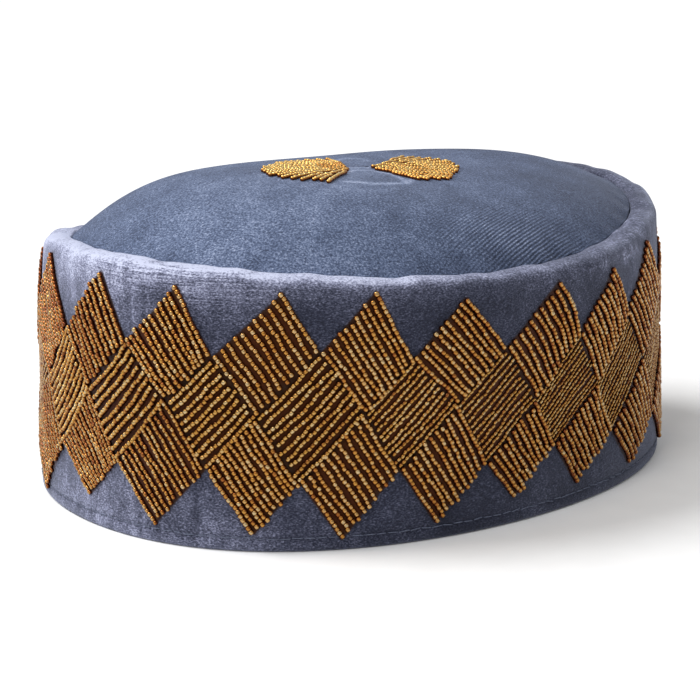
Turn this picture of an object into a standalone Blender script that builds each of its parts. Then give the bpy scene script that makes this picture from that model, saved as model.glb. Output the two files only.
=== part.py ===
"""Beaded velvet cap: a tall oval side wall with a turned rim, a domed crown panel and gold beadwork.

Metres, +Z up. The long axis of the oval lies along X, and the hem rests on Z = 0.
"""

import math
from collections import namedtuple

import bmesh
import bpy
import numpy as np

# Oval of the side wall, measured on the velvet at the level of the bulge
CAP_LENGTH = 0.216
CAP_WIDTH = 0.1595
Wave = namedtuple("Wave", "turns cosine sine")
EGG_WAVES = [
    Wave(turns=3, cosine=0.018, sine=0.009),
    Wave(turns=4, cosine=-0.012, sine=0.000),
]

# Side wall: its height, its lean and its turned rim
WALL_HEIGHT = 0.0824
WALL_THICKNESS = 0.003
BULGE_HEIGHT = 0.0407
HEM_FLARE = 0.0011
TOP_LEAN = 0.0022
HEM_FOLD = 0.003
RIM_RADIUS = 0.004
RIM_WIDTH = 0.0084
RIM_DIP = 0.0004
RIM_WAVES = [
    Wave(turns=1, cosine=0.023, sine=0.012),
    Wave(turns=2, cosine=0.042, sine=0.032),
]

# Crown panel: a padded dome set inside the rim
CROWN_THICKNESS = 0.003
CROWN_RISE = 0.0177
CROWN_FULLNESS = 4.7
CROWN_SOFTNESS = 1.1
CROWN_SLOPE_LENGTHWISE = -0.077
CROWN_SLOPE_CROSSWISE = -0.010
SEAM_DEPTH = 0.0005

# Bead lattice: three rows of slanted diamonds that share their edges
LATTICE_REPEATS = 20
LATTICE_BOTTOM = 0.0039
DIAMOND_RISE = 0.0184
STEEP_SHARE = 0.406
BEAD_HEIGHT = 0.0016
BORDER_SHARE = 0.5
DIAMOND_ROWS = 3
DIAMOND_STEPS = 3

# Two fans of beads on the crown, tip to tip: where each tip lies, which way it opens in degrees, and how
# far it reaches from its right side round to its left side, as shares of the fan length
FAN_LENGTH = 0.0320
FanShape = namedtuple(
    "FanShape", "name tip_x tip_y direction half_spread right_side right_shoulder middle left_shoulder left_side")
FANS = [
    FanShape("bead_fan_wide", tip_x=-0.0100, tip_y=-0.0070, direction=151, half_spread=75,
             right_side=0.64, right_shoulder=0.72, middle=0.84, left_shoulder=1.0, left_side=0.82),
    FanShape("bead_fan_narrow", tip_x=-0.0025, tip_y=-0.0046, direction=-21, half_spread=59,
             right_side=0.58, right_shoulder=0.84, middle=0.94, left_shoulder=1.13, left_side=1.03),
]
FAN_TIP = 0.06
FAN_STEPS_OUT = 5
FAN_STEPS_ROUND = 10

# Clearance between neighbouring pieces
PIECE_GAP = 0.0003
BEAD_GAP = 0.0004

# Sections of the side wall and of the crown, as shares chosen by eye
WALL_SHARES = (0.13, 0.28, 0.44, 0.60, 0.76, 0.89, 1.0)
RIM_ANGLES = (30, 60, 90)
CROWN_SHARES = (1.0, 0.985, 0.965, 0.94, 0.90, 0.84, 0.75, 0.62, 0.45, 0.22)
COLUMNS = 4 * LATTICE_REPEATS
PLAN_SAMPLES = 1440

VELVET_BLUE = (0.105, 0.135, 0.225, 1.0)
BEAD_GOLD = (0.55, 0.27, 0.05, 1.0)


def wave_sum(waves, angle):
    """Return one plus the listed waves at an angle in radians."""
    total = 1.0
    for wave in waves:
        total += wave.cosine * math.cos(wave.turns * angle)
        total += wave.sine * math.sin(wave.turns * angle)
    return total


def oval_plan():
    """Return the oval's x, y and running length, closed, scaled to the cap's length and width."""
    angles = np.linspace(0.0, 2.0 * math.pi, PLAN_SAMPLES + 1)
    radii = np.array([wave_sum(EGG_WAVES, angle) for angle in angles])
    x = radii * np.cos(angles)
    y = radii * np.sin(angles)
    x = (x - (x.max() + x.min()) / 2) * CAP_LENGTH / (x.max() - x.min())
    y = (y - (y.max() + y.min()) / 2) * CAP_WIDTH / (y.max() - y.min())
    run = np.concatenate([[0.0], np.cumsum(np.hypot(np.diff(x), np.diff(y)))])
    return x, y, run


PLAN_X, PLAN_Y, PLAN_RUN = oval_plan()
GIRTH = PLAN_RUN[-1]
NORMAL_STEP = 0.002


def plan_point(turn):
    """Return x and y of the oval at a share of one turn, counted from the +X end."""
    run = (turn % 1.0) * GIRTH
    return np.array([np.interp(run, PLAN_RUN, PLAN_X), np.interp(run, PLAN_RUN, PLAN_Y)])


def plan_offset(turn, outward):
    """Return x and y at a distance outside the oval, measured square to it."""
    step = NORMAL_STEP / GIRTH
    along = plan_point(turn + step) - plan_point(turn - step)
    along /= math.hypot(*along)
    return plan_point(turn) + outward * np.array([along[1], -along[0]])


def height_factor(turn):
    """Return how tall the wall stands at a share of one turn, against its mean."""
    return wave_sum(RIM_WAVES, 2.0 * math.pi * turn)


def wall_lean(height):
    """Return how far the outer velvet stands outside the oval at a height of the mean wall."""
    if height <= HEM_FOLD:
        return HEM_FLARE
    if height < BULGE_HEIGHT:
        share = (BULGE_HEIGHT - height) / (BULGE_HEIGHT - HEM_FOLD)
        return HEM_FLARE * share ** 2
    share = (height - BULGE_HEIGHT) / (WALL_HEIGHT - BULGE_HEIGHT)
    return -TOP_LEAN * share ** 2


def wall_point(turn, height, outward):
    """Return a point by its share of one turn, its height on the mean wall and its place outside the oval."""
    x, y = plan_offset(turn, outward)
    return (x, y, height * height_factor(turn))


def seam_outward():
    """Return where the rim's inner edge lies, against the oval."""
    return wall_lean(WALL_HEIGHT) - RIM_WIDTH


def wall_section():
    """Return the side wall's outer line from the hem to the seam, as heights and places outside the oval."""
    shoulder = WALL_HEIGHT - RIM_RADIUS
    section = [(0.0, HEM_FLARE), (HEM_FOLD, HEM_FLARE)]
    for share in WALL_SHARES:
        height = HEM_FOLD + share * (shoulder - HEM_FOLD)
        section.append((height, wall_lean(height)))
    centre = wall_lean(shoulder) - RIM_RADIUS
    for degrees in RIM_ANGLES:
        angle = math.radians(degrees)
        section.append((shoulder + RIM_RADIUS * math.sin(angle), centre + RIM_RADIUS * math.cos(angle)))
    section.append((WALL_HEIGHT - RIM_DIP, seam_outward()))
    return section


def seam_plan():
    """Return the crown's outline in the seam, one point for each column."""
    outward = seam_outward() - PIECE_GAP
    return np.array([plan_offset(column / COLUMNS, outward) for column in range(COLUMNS)])


SEAM_PLAN = seam_plan()
SEAM_ANGLES = np.unwrap(np.arctan2(SEAM_PLAN[:, 1], SEAM_PLAN[:, 0]))
SEAM_RADII = np.hypot(SEAM_PLAN[:, 0], SEAM_PLAN[:, 1])


def dome_height(reach, x, y, factor):
    """Return the crown's height where reach is 0 in the middle and 1 at the seam."""
    seam_height = WALL_HEIGHT - RIM_DIP - SEAM_DEPTH
    edge = seam_height * (1.0 + (factor - 1.0) * reach ** 2)
    puff = CROWN_RISE * max(0.0, 1.0 - reach ** CROWN_FULLNESS) ** CROWN_SOFTNESS
    slope = CROWN_SLOPE_LENGTHWISE * x + CROWN_SLOPE_CROSSWISE * y
    return edge + puff + slope * (1.0 - reach ** 2)


def crown_point(x, y, above):
    """Return the point of the crown's velvet over x and y, raised by a given height."""
    angle = math.atan2(y, x)
    while angle < SEAM_ANGLES[0]:
        angle += 2.0 * math.pi
    turns = np.arange(COLUMNS) / COLUMNS
    closed_angles = np.append(SEAM_ANGLES, SEAM_ANGLES[0] + 2.0 * math.pi)
    turn = np.interp(angle, closed_angles, np.append(turns, 1.0))
    edge = np.interp(angle, closed_angles, np.append(SEAM_RADII, SEAM_RADII[0]))
    reach = math.hypot(x, y) / edge
    return (x, y, dome_height(reach, x, y, height_factor(turn)) + above)


def new_material(name, colour, roughness, metallic):
    """Return a plain surface with the given colour, roughness and metallic value."""
    material = bpy.data.materials.new(name)
    material.use_nodes = True
    shader = material.node_tree.nodes["Principled BSDF"]
    shader.inputs["Base Color"].default_value = colour
    shader.inputs["Roughness"].default_value = roughness
    shader.inputs["Metallic"].default_value = metallic
    return material


def new_object(name, surface, material, collection):
    """Turn a bmesh into a smooth-shaded object in the cap's collection."""
    mesh = bpy.data.meshes.new(name)
    surface.to_mesh(mesh)
    surface.free()
    mesh.shade_smooth()
    mesh.materials.append(material)
    piece = bpy.data.objects.new(name, mesh)
    collection.objects.link(piece)
    return piece


def thicken(piece, thickness, offset):
    """Give an open sheet its thickness: offset -1 builds it inwards and 1 outwards."""
    solid = piece.modifiers.new("thickness", "SOLIDIFY")
    solid.thickness = thickness
    solid.offset = offset
    solid.use_even_offset = True
    return solid


def skin_rings(surface, rings):
    """Join closed rings of equal count with quads, listed so that the faces look outwards."""
    for lower, upper in zip(rings, rings[1:]):
        for index in range(len(lower)):
            following = (index + 1) % len(lower)
            surface.faces.new((lower[index], lower[following], upper[following], upper[index]))


def build_side_wall(velvet, collection):
    """The oval velvet wall, turned over at the top into a soft flat rim."""
    surface = bmesh.new()
    rings = []
    for height, outward in wall_section():
        ring = []
        for column in range(COLUMNS):
            ring.append(surface.verts.new(wall_point(column / COLUMNS, height, outward)))
        rings.append(ring)
    skin_rings(surface, rings)
    wall = new_object("side_wall", surface, velvet, collection)
    thicken(wall, WALL_THICKNESS, -1.0)
    return wall


def build_crown(velvet, collection):
    """The padded crown panel, domed above the rim, with its seam allowance turned down."""
    surface = bmesh.new()
    rings = []
    skirt = []
    for column, (x, y) in enumerate(SEAM_PLAN):
        factor = height_factor(column / COLUMNS)
        skirt.append(surface.verts.new((x, y, dome_height(1.0, x, y, factor) - CROWN_THICKNESS)))
    rings.append(skirt)
    for reach in CROWN_SHARES:
        ring = []
        for column, (x, y) in enumerate(SEAM_PLAN * reach):
            factor = height_factor(column / COLUMNS)
            ring.append(surface.verts.new((x, y, dome_height(reach, x, y, factor))))
        rings.append(ring)
    skin_rings(surface, rings)
    top = surface.verts.new((0.0, 0.0, dome_height(0.0, 0.0, 0.0, 1.0)))
    for index in range(COLUMNS):
        surface.faces.new((rings[-1][index], rings[-1][(index + 1) % COLUMNS], top))
    crown = new_object("crown", surface, velvet, collection)
    thicken(crown, CROWN_THICKNESS, -1.0)
    return crown


def diamond_grid(surface, row, repeat, weights):
    """One slanted diamond of the lattice as a small grid; its middle stands higher than its borders."""
    left = repeat + (2 - row) * STEEP_SHARE + row - 1
    points = {}
    for down in range(DIAMOND_STEPS + 1):
        for up in range(DIAMOND_STEPS + 1):
            across = down / DIAMOND_STEPS
            along = up / DIAMOND_STEPS
            turn = (left + across * STEEP_SHARE + along * (1.0 - STEEP_SHARE)) / LATTICE_REPEATS
            height = LATTICE_BOTTOM + DIAMOND_RISE * (row + 1 - across + along)
            place = wall_point(0.5 + turn, height, wall_lean(height) + BEAD_GAP)
            corner = surface.verts.new(place)
            inner = 0 < down < DIAMOND_STEPS and 0 < up < DIAMOND_STEPS
            corner[weights][0] = 1.0 if inner else 0.0
            points[down, up] = corner
    for down in range(DIAMOND_STEPS):
        for up in range(DIAMOND_STEPS):
            surface.faces.new((points[down, up], points[down + 1, up],
                               points[down + 1, up + 1], points[down, up + 1]))


def build_bead_lattice(gold, collection):
    """The band of beadwork round the wall: three rows of diamonds, pillowed between their borders."""
    surface = bmesh.new()
    weights = surface.verts.layers.deform.verify()
    for row in range(DIAMOND_ROWS):
        for repeat in range(LATTICE_REPEATS):
            diamond_grid(surface, row, repeat, weights)
    bmesh.ops.remove_doubles(surface, verts=surface.verts, dist=PIECE_GAP)
    lattice = new_object("bead_lattice", surface, gold, collection)
    lattice.vertex_groups.new(name="pillow")
    solid = thicken(lattice, BEAD_HEIGHT, 1.0)
    solid.vertex_group = "pillow"
    solid.thickness_vertex_group = BORDER_SHARE
    return lattice


def fan_reach(fan, swing):
    """Return a fan's outer radius where swing runs from -1 on its right side to 1 on its left."""
    sides = (fan.right_side, fan.right_shoulder, fan.middle, fan.left_shoulder, fan.left_side)
    return FAN_LENGTH * np.interp(swing, (-1.0, -0.5, 0.0, 0.5, 1.0), sides)


def build_fan(fan, gold, collection):
    """One fan of beadwork on the crown, narrow at its tip and rounded wide at its end."""
    surface = bmesh.new()
    tip = FAN_LENGTH * FAN_TIP
    grid = []
    for step in range(FAN_STEPS_ROUND + 1):
        swing = 2.0 * step / FAN_STEPS_ROUND - 1.0
        angle = math.radians(fan.direction + swing * fan.half_spread)
        line = []
        for out in range(FAN_STEPS_OUT + 1):
            radius = tip + (fan_reach(fan, swing) - tip) * out / FAN_STEPS_OUT
            x = fan.tip_x + radius * math.cos(angle)
            y = fan.tip_y + radius * math.sin(angle)
            line.append(surface.verts.new(crown_point(x, y, BEAD_GAP)))
        grid.append(line)
    for before, after in zip(grid, grid[1:]):
        for out in range(FAN_STEPS_OUT):
            surface.faces.new((before[out], before[out + 1], after[out + 1], after[out]))
    piece = new_object(fan.name, surface, gold, collection)
    thicken(piece, BEAD_HEIGHT, 1.0)
    return piece


def build_cap():
    """Clear the scene and build every piece of the cap."""
    for leftover in list(bpy.data.objects):
        bpy.data.objects.remove(leftover, do_unlink=True)
    collection = bpy.data.collections.new("beaded_velvet_cap")
    bpy.context.scene.collection.children.link(collection)
    velvet = new_material("velvet", VELVET_BLUE, 0.9, 0.0)
    gold = new_material("gold_beads", BEAD_GOLD, 0.25, 0.0)
    build_side_wall(velvet, collection)
    build_crown(velvet, collection)
    build_bead_lattice(gold, collection)
    for fan in FANS:
        build_fan(fan, gold, collection)


build_cap()
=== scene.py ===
"""Looks of the beaded velvet cap: slate blue velvet with a turned rim, and gold seed beads on threads."""

import math
from collections import namedtuple

import bpy
import numpy as np
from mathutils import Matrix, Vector


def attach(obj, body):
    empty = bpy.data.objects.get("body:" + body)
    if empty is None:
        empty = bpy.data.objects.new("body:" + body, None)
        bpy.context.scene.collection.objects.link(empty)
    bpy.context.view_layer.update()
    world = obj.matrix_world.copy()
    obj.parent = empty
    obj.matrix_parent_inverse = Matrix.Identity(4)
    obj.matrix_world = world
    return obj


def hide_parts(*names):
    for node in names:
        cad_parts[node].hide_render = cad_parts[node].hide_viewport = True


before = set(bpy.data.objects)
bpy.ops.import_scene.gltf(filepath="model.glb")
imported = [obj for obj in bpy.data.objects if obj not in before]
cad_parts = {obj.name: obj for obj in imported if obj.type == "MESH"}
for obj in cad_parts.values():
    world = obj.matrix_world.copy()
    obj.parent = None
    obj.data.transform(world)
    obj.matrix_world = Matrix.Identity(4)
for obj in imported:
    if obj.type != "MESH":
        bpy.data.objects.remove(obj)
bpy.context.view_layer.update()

# Units, and the small steps in metres over which slopes are taken
MILLIMETRE = 0.001
PER_METRE = 1000.0
PLAN_PARTS = 1440
PLAN_STEP = 0.002
SLOPE_STEP = 0.0006
AHEAD_STEP = 0.0005

# Oval of the side wall and its heights, as in the part's source, in metres
CAP_LENGTH = 0.216
CAP_WIDTH = 0.1595
Wave = namedtuple("Wave", "turns cosine sine")
EGG_WAVES = [Wave(3, 0.018, 0.009), Wave(4, -0.012, 0.0)]
RIM_WAVES = [Wave(1, 0.023, 0.012), Wave(2, 0.042, 0.032)]
WALL_HEIGHT = 0.0824
WALL_THICKNESS = 0.003
BULGE_HEIGHT = 0.0407
HEM_FLARE = 0.0011
TOP_LEAN = 0.0022
HEM_FOLD = 0.003
RIM_RADIUS = 0.004
RIM_WIDTH = 0.0084
RIM_DIP = 0.0004

# Unevenness of the wall and of its rim: how high, how many round the cap, how it leans and where it starts
Swell = namedtuple("Swell", "size turns lean start")
WALL_SWELLS = [Swell(0.00030, 7, 3.0, 0.4), Swell(0.00022, 13, -5.0, 1.9), Swell(0.00012, 29, 8.0, 0.7)]
RIM_SWELLS = [Swell(0.00022, 17, 0.0, 0.8), Swell(0.00016, 31, 0.0, 2.1), Swell(0.00010, 53, 0.0, 0.3)]
SWELL_FADE = 6.0

# Crown panel
CROWN_THICKNESS = 0.003
CROWN_RISE = 0.0177
CROWN_FULLNESS = 4.7
CROWN_SOFTNESS = 1.1
CROWN_SLOPE_LENGTHWISE = -0.077
CROWN_SLOPE_CROSSWISE = -0.010
SEAM_DEPTH = 0.0005
PIECE_GAP = 0.0003
CROWN_SWELL = 0.00035
CROWN_SWELL_LENGTHS = (0.011, 0.013)
CROWN_SWELL_STARTS = (1.3, 0.4)
PUCKER = 0.00020
PUCKER_COUNT = 43
PUCKER_BAND = 0.05
PUCKER_REACH = 0.999

# Lattice of slanted diamonds
LATTICE_REPEATS = 20
LATTICE_BOTTOM = 0.0039
DIAMOND_RISE = 0.0184
STEEP_SHARE = 0.406

# Beads and their threads
BEAD_RADIUS = 0.00086
BEAD_SHARE = 0.385
BEAD_PITCH = 0.00142
BEAD_SIDES = 8
BEAD_SINK = 0.00010
BEAD_TILT = 0.09
BEAD_SCATTER = 0.00011
BEAD_SIZES = (0.93, 1.07)
BEAD_LENGTHS = (0.92, 1.0)
BEAD_PROFILE = [(-0.5, 0.80), (-0.28, 1.0), (0.28, 1.0), (0.5, 0.80)]
THREAD_WAVE = 0.00018
THREAD_WAVE_TURNS = (5.0, 9.0)
THREAD_TONES = (0.38, 0.62)
TONE_SCATTER = 0.17
THREAD_STARTS = (-0.0007, 0.0008)
THREAD_ENDS = (-0.0007, 0.0010)
THREAD_JITTER = 0.07
FIRST_THREAD = 0.42
THREAD_SPREAD = 0.16
HIDDEN_BOW = 0.4
LEAST_BEND = 0.1
BEND_GAIN = 1.1

# Rows of diamonds from the left of the view: the first diamond's repeat, the width across its threads, and
# then for each diamond its number of threads, how far they bow in millimetres and how thick they are
RowLook = namedtuple("RowLook", "first width threads bows sizes")
TOP_ROW = RowLook(
    -1, 0.0250, (11, 10, 11, 11, 11, 11, 11, 11, 11, 12),
    (0.2, 0.0, 0.3, 0.2, 0.0, 0.2, 1.4, 1.3, 0.0, 0.2),
    (1.0, 1.0, 1.0, 1.0, 0.98, 1.0, 1.0, 1.0, 0.95, 0.95))
MIDDLE_ROW = RowLook(
    -1, 0.0216, (10, 9, 10, 10, 11, 11, 12, 12, 12, 12),
    (-1.2, -0.8, -0.4, -0.3, 0.0, 0.2, 0.3, 0.6, 0.8, 0.6),
    (1.0, 1.0, 1.0, 0.92, 0.80, 0.72, 0.66, 0.64, 0.66, 0.72))
BOTTOM_ROW = RowLook(
    -2, 0.0250, (12, 12, 12, 11, 11, 11, 11, 11, 11, 11),
    (0.0, 0.0, 0.2, -0.2, 0.0, 0.2, -0.2, 0.0, 0.3, 0.4),
    (0.9, 0.9, 0.92, 1.0, 1.0, 0.98, 1.0, 1.0, 1.0, 1.0))
ROW_LOOKS = {2: TOP_ROW, 1: MIDDLE_ROW, 0: BOTTOM_ROW}

# Fans of beads on the crown, as in the part's source; the tone goes from red to yellow
FAN_LENGTH = 0.0320
FanShape = namedtuple("FanShape", "name tip_x tip_y direction half_spread sides tone red_tip")
FANS = [
    FanShape("bead_fan_wide", -0.0100, -0.0070, 151, 75, (0.66, 0.74, 0.89, 1.07, 0.90), 0.72, 0.36),
    FanShape("bead_fan_narrow", -0.0025, -0.0046, -21, 59, (0.58, 0.84, 0.94, 1.13, 1.03), 0.60, 0.0),
]
FAN_THREAD_PITCH = 0.0024
FAN_FULL_RADIUS = 0.027
FAN_BEAD_PITCH = 0.00128
FAN_START = 0.0006
FAN_SPLIT = 0.72
FAN_SPLITS = 3
FAN_SHORTEST = 0.003
FAN_STARTS = (-0.0006, 0.0006)
FAN_ENDS = (-0.0016, 0.0008)
FAN_TURN_SCATTER = 0.006
FAN_BEAD_SCATTER = 0.00006
FAN_TONE_SCATTER = 0.09
FAN_RED_SHIFT = 0.35
FAN_BEAD_RADIUS = 0.00068
FAN_BEAD_SIZES = (0.92, 1.08)
FAN_BEAD_LENGTHS = (0.90, 1.0)
FAN_SIDE_PLACES = (-1.0, -0.5, 0.0, 0.5, 1.0)

# Pale lines pressed into the pile round the middle of the crown: x and y in millimetres, and strength
PRESSED_LINES = [
    ([(-19.9, -14.8), (-13.0, -9.0), (-8.6, -6.1), (-3.3, -6.9), (0.2, -14.4), (-1.7, -24.5)], 0.9),
    ([(-24.1, -26.0), (-15.1, -28.7), (-3.4, -27.6), (1.5, -23.2)], 1.0),
    ([(-4.9, 12.8), (0.5, 17.5), (6.0, 18.7), (8.5, 14.0), (7.2, 10.8)], 0.6),
    ([(-6.9, -1.8), (-1.2, -2.5)], 1.0),
    ([(-31.7, -26.4), (-29.5, -32.8), (-20.6, -35.9), (-12.0, -34.1)], 0.35),
]
PRESS_WIDTH = 0.0013

# The wall's section: hem and stitch, rim, seam, plain inner side, and the two kinds of surface
HEM_ROUND = 0.0015
HEM_HEIGHTS = [HEM_ROUND, 0.0024, 0.0032, 0.0038, 0.0042, 0.0046, 0.0051, 0.0057]
FACE_FOOT = 0.0065
STITCH_HEIGHT = 0.0044
STITCH_SCATTER = 0.00008
STITCH_GROOVE = 0.00028
GROOVE_WIDTH = 0.0006
STITCH_PITCH = 0.0036
STITCH_LENGTH = 0.0031
STITCH_LENGTHS = (0.9, 1.1)
STITCH_TONES = (0.3, 0.7)
STITCH_RADIUS = 0.00017
STITCH_CLEAR = -0.4
SEAM_OUTWARD = -TOP_LEAN - RIM_WIDTH
SEAM_ROUND = 0.0010
RIM_PUFF = 0.0003
SHOULDER = WALL_HEIGHT - RIM_RADIUS
HEM_ARC = range(210, 360, 25)
RIM_ARC = range(9, 91, 9)
RIM_SHARES = (0.25, 0.5, 0.75, 1.0)
SEAM_ARC = (115, 140, 165, 180)
INNER_STEP = 0.0005
INNER_SLOPE = 0.0002
INNER_LEDGE = 0.002
INNER_CORNER = 0.0006
INNER_DROP = 0.001
BEADED_BELOW_TOP = 0.0005
OUTER, INNER = 0, 1

# Velvet: colours from dark to pale, and the grain of its pile
WALL_STOPS = [
    (0.00, (0.009, 0.010, 0.019)),
    (0.30, (0.025, 0.028, 0.049)),
    (0.52, (0.078, 0.084, 0.130)),
    (0.75, (0.235, 0.248, 0.360)),
    (1.00, (0.540, 0.570, 0.730)),
]
CROWN_STOPS = [
    (0.00, (0.016, 0.022, 0.042)),
    (0.30, (0.048, 0.064, 0.112)),
    (0.52, (0.098, 0.130, 0.218)),
    (0.75, (0.215, 0.262, 0.390)),
    (1.00, (0.520, 0.570, 0.740)),
]
Grain = namedtuple("Grain", "scale stretch turn contrast sheen")
WALL_GRAIN = Grain(1.0, (1350.0, 1350.0, 2500.0), 0.0, 1.45, 0.50)
CROWN_GRAIN = Grain(1.0, (1500.0, 1900.0, 1800.0), 0.575, 1.65, 0.22)
TWILL_ANGLE = -1.98
TWILL_SCALE = 370.0
TWILL_PLACE = (0.018, -0.060)
TWILL_SIZE = (0.026, 0.010)

# Strength of the marks in the pile
PATCH_MARKS = 0.42
BROAD_MARKS = 0.30
STREAK_MARKS = 0.42
RUB_MARKS = 0.36
PRESS_MARKS = 0.34
TWILL_MARKS = 0.60

# Pile of the wall, with painted light: humps by their place round the turn, paler where the light falls on
# the left of the view, and painted highlight bands along the rim and hem in metres
Hump = namedtuple("Hump", "middle width strength")
WALL_NAP = 0.254
# Painted light: the left of the view paler where the light falls, and a narrow painted glow at its left edge
PAINTED_LIGHT_HUMPS = [Hump(0.535, 0.11, 0.235), Hump(0.444, 0.012, 0.25)]
LEFT_HUMP = Hump(0.52, 0.075, 1.0)
# Painted light on the hem, paler at the front left
HEM_HUMP = Hump(0.58, 0.07, 1.0)
HEM_PAINTED_LIGHT = 0.15
HEM_BAND = 0.016
RIM_BAND = 0.0075
RIM_BAND_LEFT = 0.006
RIM_EDGE = -0.0013
RIM_EDGE_FADE = 0.0026
# Painted highlight on the turned rim and the band just below it, strongest over the front of the view
RimPaintedLight = namedtuple("RimPaintedLight", "base pale left")
ON_RIM = RimPaintedLight(0.17, 0.30, -0.16)
NEAR_RIM = RimPaintedLight(0.04, 0.08, 0.10)
PALE_FROM = 0.30
PALE_TO = 0.82
PALE_FADE = 0.12
RIM_DENT = Hump(0.37, 0.03, 0.0014)
RUB_RIDGE = Hump(0.845, 0.055, 1.0)
RUB_RIDGE_DEPTH = 0.0046
RUB_RIDGE_WIDTH = 0.0024
RUB_SIDE = Hump(0.885, 0.035, 1.0)
RUB_SIDE_SHARE = 0.6
RUB_SIDE_FOOT = 0.044
RUB_SIDE_RISE = 0.020
CREASE_HUMP = Hump(0.575, 0.05, 1.0)
CREASE_BAND = 0.016
CREASE_FOOT = 0.05
STREAK_HUMP = Hump(0.53, 0.10, 1.0)
STREAK_BASE = 0.25

# Pile of the crown, with painted light: paler to the left of the view where the light falls and near the
# front, darker towards both ends across it, over these half sizes in metres
CROWN_NAP = 0.462
CROWN_ACROSS = 0.1
CROWN_AWAY = 0.08
# Painted light across the crown, paler to the left of the view
PAINTED_LIGHT_ACROSS = 0.12
ENDS_DARKER = 0.20
FRONT_PALER = 0.06
FRONT_PALER_RANGE = (-1.0, 0.3)

# Painted shade between the beads and along the edges of the beadwork, with a painted red glow of the amber
# glass, and how far it reaches in millimetres
EDGE_SLANT = 0.70
PAINTED_SHADE_REACH = 0.25
OUTSIDE = -5.0
PAINTED_AMBER_GLOW = (0.066, 0.015, 0.001, 1.0)
PAINTED_GAP_SHADE = (0.030, 0.013, 0.005, 1.0)

# Bead colours from the deep sides to the lit tops: the amber glass's own colour with painted shade on the
# sides and a painted highlight on the tops
GOLD_STOPS = [(0.08, (0.080, 0.014, 0.001)), (0.45, (0.205, 0.055, 0.005)), (0.72, (0.430, 0.210, 0.032)),
              (1.0, (0.485, 0.372, 0.195))]
FLAT_GOLD_STOPS = [(0.08, (0.070, 0.015, 0.001)), (0.45, (0.205, 0.068, 0.006)),
                   (0.72, (0.440, 0.240, 0.040)), (1.0, (0.505, 0.398, 0.205))]
FAN_GOLD_STOPS = [(0.08, (0.200, 0.055, 0.009)), (0.45, (0.520, 0.230, 0.034)),
                  (0.72, (0.860, 0.540, 0.120)), (1.0, (0.980, 0.820, 0.400))]
BEAD_RED = (0.42, 0.10, 0.02, 1.0)

# Colours of the sheen, the inner cloth, the sewing thread and the floor
SHEEN_TINT = (0.72, 0.78, 1.0, 1.0)
BACKING_STOPS = [(0.3, (0.010, 0.013, 0.024)), (0.7, (0.035, 0.043, 0.070))]
THREAD_STOPS = [(0.3, (0.06, 0.07, 0.11)), (0.7, (0.13, 0.15, 0.22))]
FLOOR_STOPS = [(0.3, (0.90, 0.90, 0.90)), (0.7, (0.93, 0.93, 0.93))]
FLOOR_HALF = 6.0

# How the beads take their colour: painted light from their height on the bead, lit tops and shaded sides,
# their own tone and fine specks
BEAD_LIFT = 1.12
BEAD_BASE = -0.23
BEAD_TONE = 0.58
BEAD_SPECKS = 0.35

# Camera, fitted to the photo's outline
CAMERA_PLACE = (-0.3904, -0.5930, 0.2233)
CAMERA_TARGET = (-0.0119, -0.0082, 0.0411)
CAMERA_LENS = 113.5
CAMERA_SENSOR = 36.0
CAMERA_NEAR = 0.05

# Lights, placed to the right of the view, away from the viewer and up, in metres
VIEW_RIGHT = (0.839, -0.544, 0.0)
VIEW_AWAY = (0.544, 0.839, 0.0)
WORLD_STRENGTH = 0.54
SUN_FROM = (-1.0, 0.15, 1.15)
SUN_STRENGTH = 2.6
SUN_SOFTNESS = 30.0
LAMP_FROM = (-0.5, -0.9, 1.1)
LAMP_AT = (0.0, 0.0, 0.05)
LAMP_SIZE = 0.6
LAMP_POWER = 6.0

# Fineness of the velvet meshes
WALL_COLUMNS = 600
WALL_ROWS = 44
INNER_ROWS = 14
CROWN_COLUMNS = 480
CROWN_EDGE_ROWS = 22
CROWN_EDGE_BAND = 0.25
CROWN_EDGE_POWER = 1.5
CROWN_ROWS = 40
CROWN_FIRST = 0.73
CROWN_MIDDLE = 0.006
CROWN_LAST = 0.985

RANDOM = np.random.default_rng(12)


def wave_sum(waves, angle):
    """Return one plus the listed waves at an array of angles in radians."""
    total = np.ones_like(angle)
    for wave in waves:
        total = total + wave.cosine * np.cos(wave.turns * angle) + wave.sine * np.sin(wave.turns * angle)
    return total


def oval_plan():
    """Return the oval's x, y and running length, closed."""
    angles = np.linspace(0.0, 2.0 * math.pi, PLAN_PARTS + 1)
    radii = wave_sum(EGG_WAVES, angles)
    x = radii * np.cos(angles)
    y = radii * np.sin(angles)
    x = (x - (x.max() + x.min()) / 2) * CAP_LENGTH / (x.max() - x.min())
    y = (y - (y.max() + y.min()) / 2) * CAP_WIDTH / (y.max() - y.min())
    run = np.concatenate([[0.0], np.cumsum(np.hypot(np.diff(x), np.diff(y)))])
    return x, y, run


PLAN_X, PLAN_Y, PLAN_RUN = oval_plan()
GIRTH = PLAN_RUN[-1]


def plan_point(turn):
    """Return x and y of the oval at shares of one turn."""
    run = np.mod(turn, 1.0) * GIRTH
    return np.interp(run, PLAN_RUN, PLAN_X), np.interp(run, PLAN_RUN, PLAN_Y)


def plan_normal(turn):
    """Return the outward direction of the oval at shares of one turn."""
    step = PLAN_STEP / GIRTH
    x_after, y_after = plan_point(turn + step)
    x_before, y_before = plan_point(turn - step)
    size = np.hypot(x_after - x_before, y_after - y_before)
    return (y_after - y_before) / size, -(x_after - x_before) / size


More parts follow.
